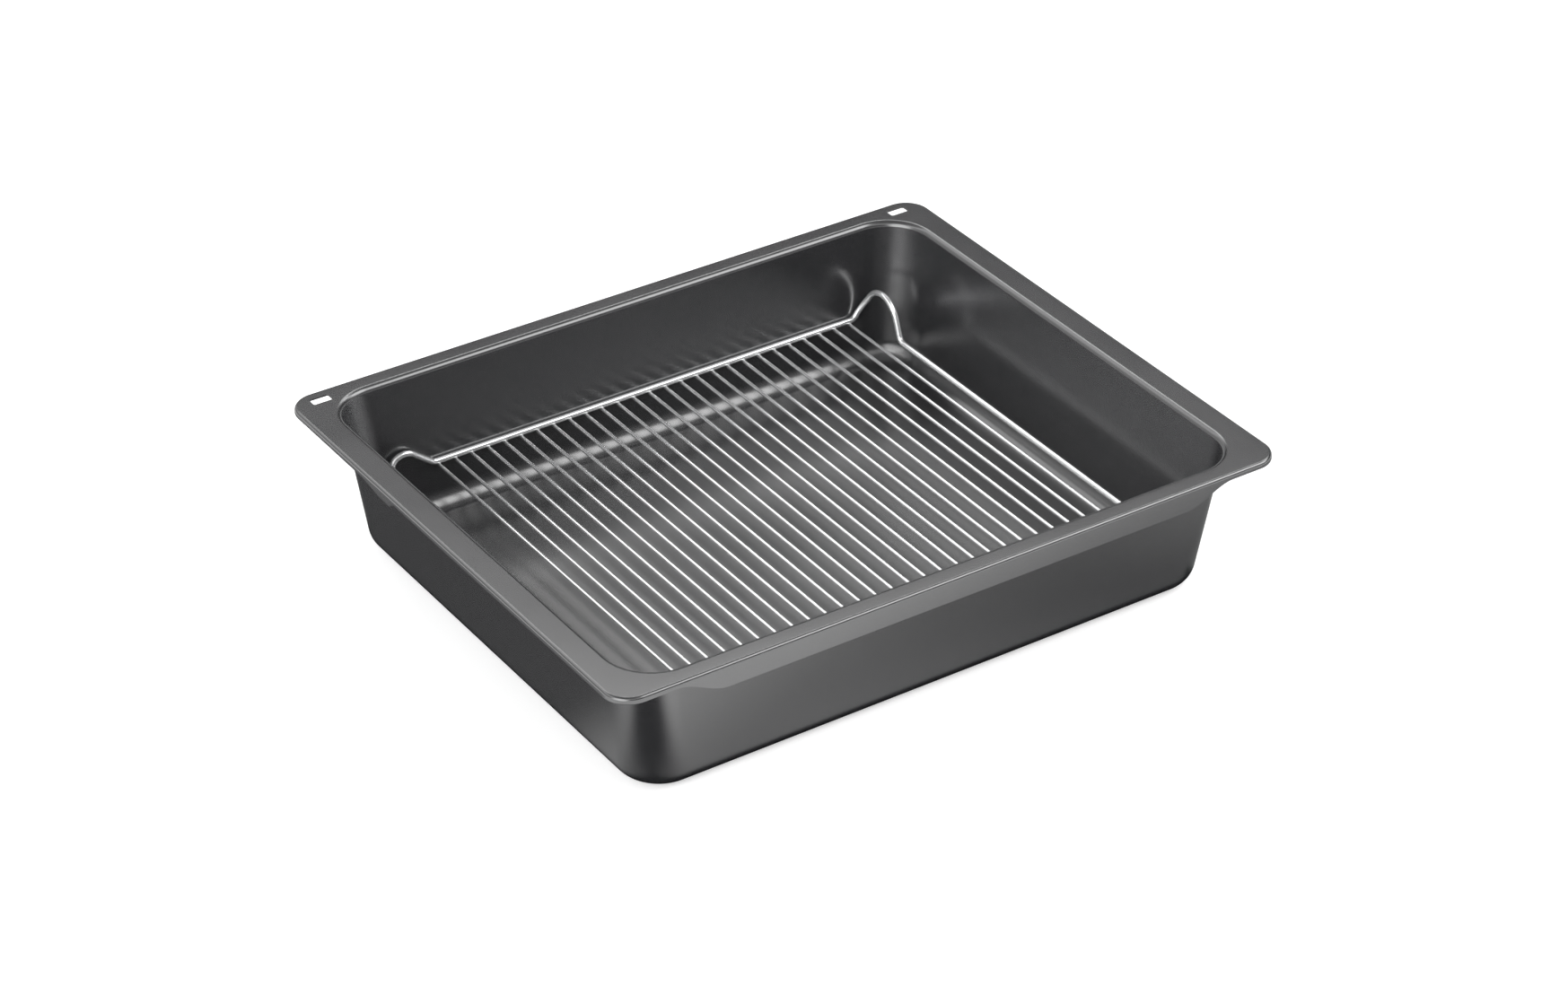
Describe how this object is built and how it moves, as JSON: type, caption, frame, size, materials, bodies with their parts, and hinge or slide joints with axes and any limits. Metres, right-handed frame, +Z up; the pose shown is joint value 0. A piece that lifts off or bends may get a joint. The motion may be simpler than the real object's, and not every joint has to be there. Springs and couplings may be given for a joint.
{
  "type": "deep baking tray",
  "caption": "Deep rectangular roasting pan of enamelled sheet steel, with drafted walls, a wide ledge for oven runners and a loose chromed wire rack that lifts out.",
  "frame": {"origin": "middle of the pan's underside, where it stands", "axes": "+X along the wide side, -Y towards the front with the deeper apron, +Z up out of the pan"},
  "size_m": [0.455, 0.375, 0.092],
  "materials": {
    "enamel": "dark grey vitreous enamel, smooth, semi-gloss",
    "chrome_wire": "bright chrome plate on drawn steel wire"
  },
  "bodies": {
    "pan": {"pan": "enamel"},
    "rack": {"rack_frame": "chrome_wire", "rack_rod_01": "chrome_wire", "rack_rod_02": "chrome_wire", "rack_rod_03": "chrome_wire", "rack_rod_04": "chrome_wire", "rack_rod_05": "chrome_wire", "rack_rod_06": "chrome_wire", "rack_rod_07": "chrome_wire", "rack_rod_08": "chrome_wire", "rack_rod_09": "chrome_wire", "rack_rod_10": "chrome_wire", "rack_rod_11": "chrome_wire", "rack_rod_12": "chrome_wire", "rack_rod_13": "chrome_wire", "rack_rod_14": "chrome_wire", "rack_rod_15": "chrome_wire", "rack_rod_16": "chrome_wire", "rack_rod_17": "chrome_wire", "rack_rod_18": "chrome_wire", "rack_rod_19": "chrome_wire", "rack_rod_20": "chrome_wire", "rack_rod_21": "chrome_wire", "rack_rod_22": "chrome_wire", "rack_rod_23": "chrome_wire", "rack_rod_24": "chrome_wire", "rack_rod_25": "chrome_wire", "rack_rod_26": "chrome_wire", "rack_rod_27": "chrome_wire"}
  },
  "joints": [
    {"name": "rack_lift", "type": "slide", "parent": "pan", "child": "rack", "axis": [0, 0, 1], "range_m": [0, 0.1]}
  ]
}
